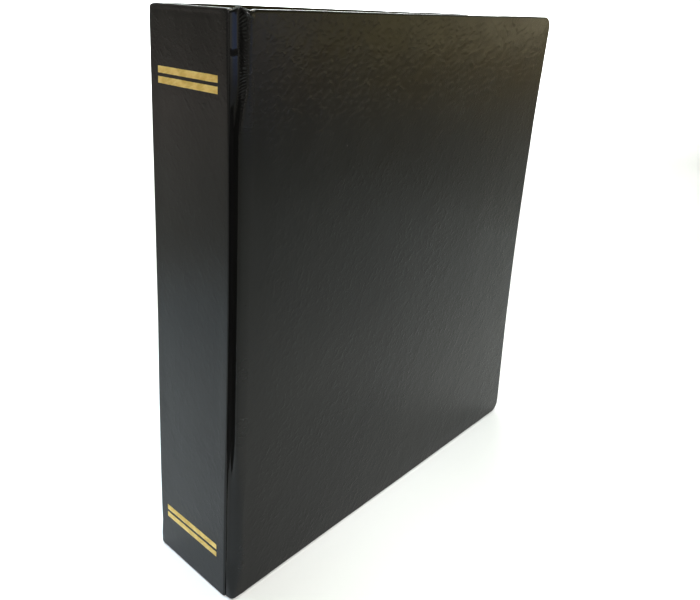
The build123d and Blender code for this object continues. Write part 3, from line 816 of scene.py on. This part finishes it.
class Nodes:
    def __init__(self, nt):
        self.nt = nt

    def put(self, socket, value):
        if isinstance(value, bpy.types.NodeSocket):
            self.nt.links.new(value, socket)
        elif value is not None:
            socket.default_value = value

    def lay(self):
        n = self.nt.nodes.new("ShaderNodeAttribute")
        n.attribute_type = "GEOMETRY"
        n.attribute_name = "lay"
        return n.outputs["Vector"]

    def obj(self):
        return self.nt.nodes.new("ShaderNodeTexCoord").outputs["Object"]

    def mapping(self, vec, scale=(1, 1, 1), rot=(0, 0, 0), loc=(0, 0, 0)):
        n = self.nt.nodes.new("ShaderNodeMapping")
        self.put(n.inputs["Vector"], vec)
        n.inputs["Scale"].default_value = scale
        n.inputs["Rotation"].default_value = rot
        n.inputs["Location"].default_value = loc
        return n.outputs["Vector"]

    def noise(self, vec, scale, detail=2.0, rough=0.5, distort=0.0, lac=2.0):
        n = self.nt.nodes.new("ShaderNodeTexNoise")
        self.put(n.inputs["Vector"], vec)
        n.inputs["Scale"].default_value = scale
        n.inputs["Detail"].default_value = detail
        n.inputs["Roughness"].default_value = rough
        n.inputs["Lacunarity"].default_value = lac
        n.inputs["Distortion"].default_value = distort
        return n.outputs["Fac"]

    def voronoi(self, vec, scale, feature="F1", rand=1.0, out="Distance"):
        n = self.nt.nodes.new("ShaderNodeTexVoronoi")
        n.feature = feature
        self.put(n.inputs["Vector"], vec)
        n.inputs["Scale"].default_value = scale
        n.inputs["Randomness"].default_value = rand
        return n.outputs[out]

    def math(self, op, a, b=None, c=None, clamp=False):
        n = self.nt.nodes.new("ShaderNodeMath")
        n.operation = op
        n.use_clamp = clamp
        self.put(n.inputs[0], a)
        if b is not None:
            self.put(n.inputs[1], b)
        if c is not None:
            self.put(n.inputs[2], c)
        return n.outputs[0]

    def span(self, v, a, b, lo=0.0, hi=1.0, kind="SMOOTHSTEP"):
        n = self.nt.nodes.new("ShaderNodeMapRange")
        n.interpolation_type = kind
        self.put(n.inputs["Value"], v)
        n.inputs["From Min"].default_value = a
        n.inputs["From Max"].default_value = b
        n.inputs["To Min"].default_value = lo
        n.inputs["To Max"].default_value = hi
        return n.outputs["Result"]

    def mix(self, fac, a, b):
        n = self.nt.nodes.new("ShaderNodeMix")
        n.data_type = "RGBA"
        self.put(n.inputs["Factor"], fac)
        self.put(n.inputs["A"], a)
        self.put(n.inputs["B"], b)
        return n.outputs["Result"]

    def axis(self, vec, k):
        n = self.nt.nodes.new("ShaderNodeSeparateXYZ")
        self.put(n.inputs[0], vec)
        return n.outputs[k]

    def bump(self, height, strength, distance, normal=None):
        n = self.nt.nodes.new("ShaderNodeBump")
        self.put(n.inputs["Height"], height)
        n.inputs["Strength"].default_value = strength
        n.inputs["Distance"].default_value = distance
        if normal is not None:
            self.put(n.inputs["Normal"], normal)
        return n.outputs["Normal"]


def rgb(r, g, b):
    return (r, g, b, 1.0)


def leatherette(name, crease=1.0, rough=0.185, tint=(0.0070, 0.0070, 0.0066), ior=1.47, groove=False):
    m, nt, b = new_mat(name)
    n = Nodes(nt)
    lay = n.lay()
    # short creases that lean to the right, broken up and uneven, over a finer pebble
    lean = n.mapping(lay, rot=(0, math.radians(-36), 0))
    c1 = n.noise(n.mapping(lean, scale=(430, 300, 300)), 1.0, 3.0, 0.5, 0.35)
    lean2 = n.mapping(lay, rot=(0, math.radians(-14), 0))
    c2 = n.noise(n.mapping(lean2, scale=(900, 500, 700)), 1.0, 2.0, 0.5, 0.3)
    grit = n.voronoi(lay, 1500.0, "SMOOTH_F1")
    patch = n.noise(lay, 34.0, 3.0, 0.55)
    swell = n.noise(n.mapping(lean, scale=(120, 100, 70)), 1.0, 2.0, 0.5, 0.4)
    strength = n.span(patch, 0.36, 0.64, 0.6, 1.3)
    ridge = n.math("ABSOLUTE", n.math("SUBTRACT", c1, 0.5))
    h1 = n.math("ADD", n.math("MULTIPLY", n.span(ridge, 0.0, 0.13, 0, 1, "LINEAR"), 0.40), n.math("MULTIPLY", c1, 2.3))
    h = n.math("MULTIPLY", h1, strength)
    h = n.math("ADD", h, n.math("MULTIPLY", c2, 0.45))
    h = n.math("ADD", h, n.math("MULTIPLY", grit, 0.16))
    h = n.math("ADD", h, n.math("MULTIPLY", swell, 2.2))
    if groove:
        # pulled smooth in the groove and a little way over the board's edge
        x = n.axis(lay, 0)
        h = n.math("MULTIPLY", h, n.math("ADD", n.span(x, 0.0012, 0.0030, 0.10, 0.45), n.span(x, 0.009, 0.024, 0.0, 0.55)))
    n.put(b.inputs["Normal"], n.bump(h, 1.0, 0.000075 * crease))
    # colour: near black, a touch browner or greyer in broad patches, with a few specks of dust
    broad = n.noise(lay, 11.0, 2.0, 0.5)
    dark = rgb(*[x * 0.8 for x in tint])
    lite = rgb(tint[0] * 1.22, tint[1] * 1.2, tint[2] * 1.16)
    base = n.mix(n.span(broad, 0.35, 0.65), dark, lite)
    dust = n.voronoi(n.mapping(lay, loc=(0.0031, 0.0, 0.0017)), 120.0, "F1")
    few = n.noise(n.mapping(lay, loc=(0.7, 0, 0.2)), 55.0, 0.0)
    spot = n.math("MULTIPLY", n.span(dust, 0.028, 0.045, 1.0, 0.0), n.span(few, 0.66, 0.70))
    base = n.mix(n.math("MULTIPLY", spot, 0.4), base, rgb(0.20, 0.19, 0.17))
    n.put(b.inputs["Base Color"], base)
    r1 = n.span(patch, 0.3, 0.7, rough - 0.03, rough + 0.04)
    r = n.math("ADD", r1, n.math("MULTIPLY", n.math("SUBTRACT", c2, 0.5), 0.10))
    if groove:
        # the leatherette is stretched shiny where it is pressed into the groove
        gx = n.axis(lay, 0)
        edge = n.math("MULTIPLY", n.span(gx, 0.0040, 0.0062, 0.0, 0.3), n.span(gx, 0.0084, 0.0110, 1.0, 0.0))
        r = n.math("MULTIPLY", r, n.math("ADD", n.span(gx, 0.0010, 0.0022, 0.75, 1.0), edge))
    n.put(b.inputs["Roughness"], r)
    b.inputs["IOR"].default_value = ior
    return m


def foil():
    m, nt, b = new_mat("gold_foil_stamped")
    n = Nodes(nt)
    lay = n.lay()
    grain = n.noise(n.mapping(lay, rot=(0, math.radians(52), 0), scale=(1, 1, 1)), 900.0, 3.0, 0.6)
    streak = n.noise(n.mapping(n.mapping(lay, rot=(0, math.radians(-20), 0)), scale=(240, 300, 900)), 1.0, 2.0, 0.6)
    cloud = n.noise(lay, 160.0, 2.0, 0.5)
    base = n.mix(n.span(cloud, 0.35, 0.65), rgb(0.53, 0.39, 0.125), rgb(0.64, 0.50, 0.20))
    base = n.mix(n.span(streak, 0.40, 0.75, 0.0, 0.55), base, rgb(0.68, 0.58, 0.29))
    worn = n.span(grain, 0.70, 0.80, 0.0, 0.55)
    base = n.mix(worn, base, rgb(0.17, 0.12, 0.05))
    n.put(b.inputs["Base Color"], base)
    b.inputs["Metallic"].default_value = 0.55
    n.put(b.inputs["Roughness"], n.span(grain, 0.3, 0.7, 0.42, 0.58))
    n.put(b.inputs["Normal"], n.bump(n.math("ADD", grain, streak), 1.0, 0.00006))
    b.inputs["IOR"].default_value = 1.5
    return m


def board_mat():
    m, nt, b = new_mat("greyboard_fibre")
    n = Nodes(nt)
    co = n.obj()
    fibre = n.noise(n.mapping(co, scale=(1, 1, 1)), 900.0, 4.0, 0.65, 1.2)
    fleck = n.voronoi(co, 420.0, "F1")
    broad = n.noise(co, 60.0, 3.0, 0.5)
    base = n.mix(n.span(broad, 0.3, 0.7), rgb(0.235, 0.215, 0.185), rgb(0.30, 0.28, 0.245))
    base = n.mix(n.span(fibre, 0.58, 0.74, 0, 0.7), base, rgb(0.40, 0.375, 0.33))
    base = n.mix(n.span(fleck, 0.0, 0.16, 0.7, 0.0), base, rgb(0.13, 0.12, 0.11))
    n.put(b.inputs["Base Color"], base)
    n.put(b.inputs["Roughness"], n.span(fibre, 0.3, 0.7, 0.86, 0.97))
    n.put(b.inputs["Normal"], n.bump(fibre, 0.8, 0.00012))
    return m


def lining_mat(name="black_lining_paper", use_lay=True):
    m, nt, b = new_mat(name)
    n = Nodes(nt)
    co = n.lay() if use_lay else n.obj()
    # fine linen emboss: two crossing ribs broken by noise
    wob = n.noise(co, 260.0, 2.0, 0.5)
    wx = n.nt.nodes.new("ShaderNodeTexWave")
    wx.wave_type, wx.bands_direction = "BANDS", "X"
    wx.inputs["Scale"].default_value = 620.0
    wx.inputs["Distortion"].default_value = 1.4
    wx.inputs["Detail"].default_value = 1.0
    wx.inputs["Detail Scale"].default_value = 0.6
    n.put(wx.inputs["Vector"], co)
    wz = n.nt.nodes.new("ShaderNodeTexWave")
    wz.wave_type, wz.bands_direction = "BANDS", "Z"
    wz.inputs["Scale"].default_value = 560.0
    wz.inputs["Distortion"].default_value = 1.4
    wz.inputs["Detail"].default_value = 1.0
    wz.inputs["Detail Scale"].default_value = 0.6
    n.put(wz.inputs["Vector"], co)
    weave = n.math("ADD", wx.outputs["Fac"], wz.outputs["Fac"])
    h = n.math("ADD", weave, n.math("MULTIPLY", wob, 0.7))
    base = n.mix(n.span(wob, 0.3, 0.7), rgb(0.0105, 0.0105, 0.011), rgb(0.017, 0.017, 0.0175))
    n.put(b.inputs["Base Color"], base)
    n.put(b.inputs["Roughness"], n.span(weave, 0.4, 1.6, 0.62, 0.5))
    n.put(b.inputs["Normal"], n.bump(h, 0.7, 0.00004))
    b.inputs["IOR"].default_value = 1.46
    return m


def nickel(name, scratch_dir="Z", rough=0.2, tint=(0.66, 0.645, 0.62)):
    m, nt, b = new_mat(name)
    n = Nodes(nt)
    co = n.obj()
    sc = {"Z": (2600, 2600, 60), "X": (60, 2600, 2600), "Y": (2600, 60, 2600)}[scratch_dir]
    brush = n.noise(n.mapping(co, scale=sc), 1.0, 3.0, 0.6)
    haze = n.noise(co, 70.0, 3.0, 0.55)
    wear = n.noise(n.mapping(co, scale=(300, 300, 300)), 1.0, 4.0, 0.7, 1.5)
    base = n.mix(n.span(haze, 0.3, 0.7), rgb(tint[0] * 0.9, tint[1] * 0.9, tint[2] * 0.9), rgb(*tint))
    base = n.mix(n.span(wear, 0.64, 0.76, 0.0, 0.35), base, rgb(0.36, 0.34, 0.31))
    n.put(b.inputs["Base Color"], base)
    b.inputs["Metallic"].default_value = 1.0
    r = n.math("ADD", n.span(haze, 0.3, 0.7, rough - 0.04, rough + 0.06), n.math("MULTIPLY", brush, 0.10))
    n.put(b.inputs["Roughness"], r)
    n.put(b.inputs["Normal"], n.bump(brush, 0.35, 0.00002))
    return m


def vinyl():
    m, nt, b = new_mat("clear_vinyl_film")
    n = Nodes(nt)
    lay = n.lay()
    haze = n.noise(lay, 38.0, 3.0, 0.5)
    ripple = n.noise(n.mapping(lay, scale=(60, 60, 22)), 1.0, 2.0, 0.5, 0.5)
    scuff = n.noise(n.mapping(n.mapping(lay, rot=(0, 0.5, 0)), scale=(1500, 300, 120)), 1.0, 2.0, 0.6)
    base = n.mix(n.span(haze, 0.3, 0.7), rgb(0.80, 0.82, 0.84), rgb(0.90, 0.915, 0.93))
    n.put(b.inputs["Base Color"], base)
    # the binding strip, the welded seams and the edge are milkier than the pockets, and finely ribbed
    at = nt.nodes.new("ShaderNodeAttribute")
    at.attribute_name = "weld"
    weld_line = at.outputs["Fac"]
    ribs = n.math("SINE", n.math("MULTIPLY", n.math("ADD", n.axis(lay, 0), n.axis(lay, 2)), 5200.0))
    h = n.math("ADD", n.math("MULTIPLY", ripple, 6.0), n.math("MULTIPLY", n.math("MULTIPLY", ribs, weld_line), 0.35))
    n.put(b.inputs["Roughness"], n.math("ADD", n.math("ADD", n.span(haze, 0.3, 0.7, 0.10, 0.17), n.span(scuff, 0.62, 0.8, 0.0, 0.2)), n.math("MULTIPLY", weld_line, 0.14)))
    n.put(b.inputs["Normal"], n.bump(h, 0.6, 0.0001))
    n.put(b.inputs["Alpha"], n.math("ADD", n.span(scuff, 0.55, 0.8, 0.12, 0.22), n.math("MULTIPLY", weld_line, 0.30)))
    b.inputs["IOR"].default_value = 1.53
    return m


MAT = {
    "cover": leatherette("black_leatherette_cover", crease=0.78, groove=True),
    "spine": leatherette("black_leatherette_spine", crease=0.42, rough=0.22, tint=(0.0080, 0.0079, 0.0080)),
    "foil": foil(),
    "board": board_mat(),
    "lining": lining_mat(),
    "lining_obj": lining_mat("black_lining_strip", use_lay=False),
    "ring": nickel("nickel_plate_rings", "Z", 0.14, (0.72, 0.70, 0.67)),
    "housing": nickel("nickel_plate_housing", "Z", 0.20),
    "blade": nickel("zinc_steel_blades", "Z", 0.34, (0.55, 0.54, 0.52)),
    "lever": nickel("nickel_plate_levers", "Y", 0.22),
    "rivet": nickel("nickel_rivets", "X", 0.24, (0.62, 0.60, 0.57)),
    "vinyl": vinyl(),
}


def give(ob, mat):
    ob.data.materials.clear()
    ob.data.materials.append(mat)


for ob in (front_leather, back_leather):
    give(ob, MAT["cover"])
give(spine_leather, MAT["spine"])
for ob in (bars_top, bars_bottom):
    give(ob, MAT["foil"])
for side in covers:
    give(boards[side], MAT["board"])
    give(liners[side], MAT["lining"])
    give(hinge_liners[side], MAT["lining"])
for ob in pages:
    give(ob, MAT["vinyl"])

CAD_LOOK = {
    "spine_board": "board", "spine_lining": "lining_obj", "ring_housing": "housing", "rivets": "rivet",
    "front_blade": "blade", "back_blade": "blade", "front_ring_halves": "ring", "back_ring_halves": "ring",
    "top_lever": "lever", "bottom_lever": "lever", "lever_pins": "rivet",
}
for node, look in CAD_LOOK.items():
    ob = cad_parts[node]
    if ob.material_slots:
        for s in ob.material_slots:
            s.material = MAT[look]
    else:
        ob.data.materials.append(MAT[look])

# ---------------------------------------------------------------- what each piece stands for, and what it moves with
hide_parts("front_cover_wrap", "front_hinge_web")
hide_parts("back_cover_wrap", "back_hinge_web")
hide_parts("spine_wrap")
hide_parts("spine_bars_top")
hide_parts("spine_bars_bottom")
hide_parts("front_board")
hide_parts("back_board")
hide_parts("front_lining")
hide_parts("back_lining")
for i, ob in enumerate(pages):
    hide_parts(f"coin_page_{i + 1}")
    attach(ob, f"page_{i + 1}")
for side in covers:
    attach(boards[side], f"{side}_cover")
    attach(liners[side], f"{side}_cover")
for ob in (spine_leather, bars_top, bars_bottom):
    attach(ob, "spine")
for side, ob in (("front", front_leather), ("back", back_leather)):
    back = side == "back"
    out((3.35, 0, 0), back)
    out((7.2, 0, 0), back)
    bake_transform(ob)
    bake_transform(hinge_liners[side], "spine", f"{side}_cover", start=out((4.0, 0, 0), back), end=out((9.2, 0, 0), back))


# ---------------------------------------------------------------- floor, backdrop, lights and camera
def stage_surface():
    """A pale floor that curves up behind into a backdrop, in one sheet."""
    far = 2.4
    prof = [(-3.2, 0.0), (-1.6, 0.0), (-0.5, 0.0), (0.6, 0.0), (1.3, 0.0)]
    for a in np.radians(np.arange(0, 91, 9)):
        prof.append((1.5 + 0.9 * math.sin(a), 0.9 - 0.9 * math.cos(a)))
    prof += [(far, 1.6), (far, 3.2)]
    d = Vector((-0.70258093, -0.64177985, 0)).normalized()       # towards the camera
    side = Vector((-d.y, d.x, 0))
    verts, faces = [], []
    ws = np.linspace(-3.5, 3.5, 9)
    for a, h in prof:
        for w in ws:
            p = -d * a + side * w
            verts.append((p.x, p.y, h))
    faces = grid_faces(len(prof), len(ws))
    ob = make("studio_sweep", verts, faces)
    if ob.data.polygons[0].normal.z < 0:
        ob.data.flip_normals()
    m, nt, b = new_mat("studio_paper")
    n = Nodes(nt)
    tone = n.noise(n.obj(), 3.0, 2.0, 0.5)
    n.put(b.inputs["Base Color"], n.mix(n.span(tone, 0.2, 0.8), rgb(0.80, 0.80, 0.80), rgb(0.83, 0.83, 0.83)))
    n.put(b.inputs["Roughness"], n.span(tone, 0.2, 0.8, 0.85, 0.95))
    b.inputs["Specular IOR Level"].default_value = 0.2
    give(ob, m)
    return ob


sweep = stage_surface()


def area_light(name, loc, aim, size, power, colour=(1, 1, 1), size_y=None, spread=None):
    d = bpy.data.lights.new(name, "AREA")
    d.shape = "RECTANGLE" if size_y else "SQUARE"
    d.size = size
    if size_y:
        d.size_y = size_y
    d.energy = power
    d.color = colour
    if spread:
        d.spread = math.radians(spread)
    ob = bpy.data.objects.new(name, d)
    bpy.context.scene.collection.objects.link(ob)
    ob.location = loc
    ob.rotation_mode = "QUATERNION"
    ob.rotation_quaternion = (Vector(aim) - Vector(loc)).to_track_quat("-Z", "Y")
    ob.visible_camera = False
    return ob


def spot_light(name, loc, aim, power, cone, blend, size, colour=(1, 1, 1)):
    d = bpy.data.lights.new(name, "SPOT")
    d.energy = power
    d.color = colour
    d.spot_size = math.radians(cone)
    d.spot_blend = blend
    d.shadow_soft_size = size
    ob = bpy.data.objects.new(name, d)
    bpy.context.scene.collection.objects.link(ob)
    ob.location = loc
    ob.rotation_mode = "QUATERNION"
    ob.rotation_quaternion = (Vector(aim) - Vector(loc)).to_track_quat("-Z", "Y")
    return ob


def tinted(r, g, b):
    """A light's watts and colour from its three levels."""
    top = max(r, g, b)
    return top, (r / top, g / top, b / top)


LIGHTS = [
    ("ceiling", (0.1, 0.05, 2.2), (0.1, 0.05, 0), 1.6, 1.6, 120, (14.7, 16.0, 14.3)),
    ("camera_side", (-0.88, -0.80, 0.88), (-0.13, -0.02, 0.20), 0.34, 0.34, 40, (1.15, 1.1, 1.1)),
    ("behind", (0.60, 0.60, 0.95), (0.72, 0.68, 0.0), 0.7, 0.6, 120, (4.4, 4.3, 4.6)),
    ("back_wall", (1.05, 0.95, 1.5), (1.75, 1.60, 0.45), 1.2, 1.0, 100, (47.0, 49.0, 50.0)),
    ("left_far", (-1.0, 1.9, 1.1), (-1.0, 1.9, 0.0), 1.2, 1.6, 140, (13.9, 12.0, 10.9)),
    ("right_far", (2.3, -1.8, 1.1), (2.3, -1.8, 0.0), 1.3, 2.2, 140, (12.8, 9.4, 3.6)),
]
for name, loc, aim, wide, deep, spread, levels in LIGHTS:
    power, colour = tinted(*levels)
    area_light(name, loc, aim, wide, power, colour, deep, spread)
# a window's reflection in the groove: pale at one side, then blue, dying away below
for k, (x0, x1, y, upper, lower) in enumerate([
    (-0.06, 0.37, -1.60, (4.3, 4.3, 4.0), (1.6, 1.6, 1.55)),
    (0.37, 0.60, -1.52, (3.0, 4.0, 6.8), (0.9, 1.3, 2.4)),
    (0.60, 0.85, -1.44, (1.0, 2.2, 6.2), (0.12, 0.5, 2.1)),
    (0.85, 1.20, -1.36, (0.15, 0.5, 2.4), (0.01, 0.1, 0.9)),
]):
    for row, z0, z1, rad in (("upper", 0.17, 0.33, upper), ("lower", 0.03, 0.17, lower)):
        area = (x1 - x0) * (z1 - z0)
        power, colour = tinted(*[c * area for c in rad])
        area_light(f"window_{row}_{k + 1}", ((x0 + x1) / 2, y, (z0 + z1) / 2), (-0.13, -0.03, (z0 + z1) / 2 + 0.02), x1 - x0, power, colour, z1 - z0, 180)
for name, loc, aim, cone, blend, size, levels in [
    ("front_pool", (0.22, -0.26, 1.9), (0.22, -0.26, 0.0), 26, 0.35, 0.08, (34.8, 38.5, 40.6)),
    ("spine_pool", (-0.26, 0.18, 0.9), (-0.24, 0.14, 0.0), 38, 0.5, 0.05, (8.0, 12.2, 16.0)),
]:
    power, colour = tinted(*levels)
    spot_light(name, loc, aim, power, cone, blend, size, colour)

# the room round the floor: dim and warm near the horizon, darker above
world = bpy.data.worlds.new("studio")
bpy.context.scene.world = world
world.use_nodes = True
wt = world.node_tree
wt.nodes.clear()
w_out = wt.nodes.new("ShaderNodeOutputWorld")
w_bg = wt.nodes.new("ShaderNodeBackground")
w_co = wt.nodes.new("ShaderNodeTexCoord")
w_xyz = wt.nodes.new("ShaderNodeSeparateXYZ")
w_ramp = wt.nodes.new("ShaderNodeValToRGB")
w_side = wt.nodes.new("ShaderNodeValToRGB")
w_mul = wt.nodes.new("ShaderNodeMix")
w_mul.data_type, w_mul.blend_type = "RGBA", "MULTIPLY"
w_mul.inputs["Factor"].default_value = 1.0
w_x = wt.nodes.new("ShaderNodeMapRange")
w_x.inputs["From Min"].default_value, w_x.inputs["From Max"].default_value = -1.0, 1.0
wt.links.new(w_co.outputs["Generated"], w_xyz.inputs[0])
wt.links.new(w_xyz.outputs["Z"], w_ramp.inputs["Fac"])
wt.links.new(w_xyz.outputs["X"], w_x.inputs["Value"])
wt.links.new(w_x.outputs["Result"], w_side.inputs["Fac"])
wt.links.new(w_ramp.outputs["Color"], w_mul.inputs["A"])
wt.links.new(w_side.outputs["Color"], w_mul.inputs["B"])
wt.links.new(w_mul.outputs["Result"], w_bg.inputs["Color"])
side_stops = [(0.0, (0.20, 0.19, 0.17)), (0.18, (0.25, 0.24, 0.21)), (0.27, (0.72, 0.68, 0.58)), (0.49, (0.56, 0.52, 0.42)), (0.57, (0.10, 0.10, 0.11)), (0.71, (0.10, 0.10, 0.10)), (0.775, (0.66, 0.57, 0.20)), (0.89, (0.96, 0.84, 0.42)), (0.95, (1.42, 1.28, 0.90))]
while len(w_side.color_ramp.elements) < len(side_stops):
    w_side.color_ramp.elements.new(0.5)
for e, (pos, col) in zip(w_side.color_ramp.elements, side_stops):
    e.position, e.color = pos, (*col, 1)
# the tints only light the object: past the floor's end one sees a plain pale backdrop
w_plain = wt.nodes.new("ShaderNodeBackground")
w_plain.inputs["Color"].default_value = (0.56, 0.57, 0.58, 1)
w_plain.inputs["Strength"].default_value = 1.0
w_path = wt.nodes.new("ShaderNodeLightPath")
w_pick = wt.nodes.new("ShaderNodeMixShader")
wt.links.new(w_path.outputs["Is Camera Ray"], w_pick.inputs["Fac"])
wt.links.new(w_bg.outputs["Background"], w_pick.inputs[1])
wt.links.new(w_plain.outputs["Background"], w_pick.inputs[2])
wt.links.new(w_pick.outputs["Shader"], w_out.inputs["Surface"])
w_ramp.color_ramp.elements[0].position, w_ramp.color_ramp.elements[0].color = 0.0, (1, 1, 1, 1)
w_ramp.color_ramp.elements[1].position, w_ramp.color_ramp.elements[1].color = 0.5, (0.22, 0.24, 0.28, 1)
w_bg.inputs["Strength"].default_value = 1.45

cam_data = bpy.data.cameras.new("camera")
cam = bpy.data.objects.new("camera", cam_data)
bpy.context.scene.collection.objects.link(cam)
cam_data.sensor_width = 36.0
cam_data.lens = 36.55
cam_data.shift_x = 0.0408
cam_data.shift_y = -0.1068
cam_data.clip_start, cam_data.clip_end = 0.01, 50.0
cx = Vector((0.68496149, -0.7270178, 0.04767469))
cy = Vector((0.19289323, 0.24405684, 0.95038332))
cz = Vector((-0.70258093, -0.64177985, 0.30740635))
cam.matrix_world = Matrix((
    (cx.x, cy.x, cz.x, -0.32009),
    (cx.y, cy.y, cz.y, -0.25242),
    (cx.z, cy.z, cz.z, 0.29843),
    (0, 0, 0, 1),
))
bpy.context.scene.camera = cam
bpy.context.scene.view_settings.view_transform = "Standard"
bpy.context.scene.view_settings.look = "None"
bpy.context.scene.view_settings.gamma = 0.78
bpy.context.view_layer.update()
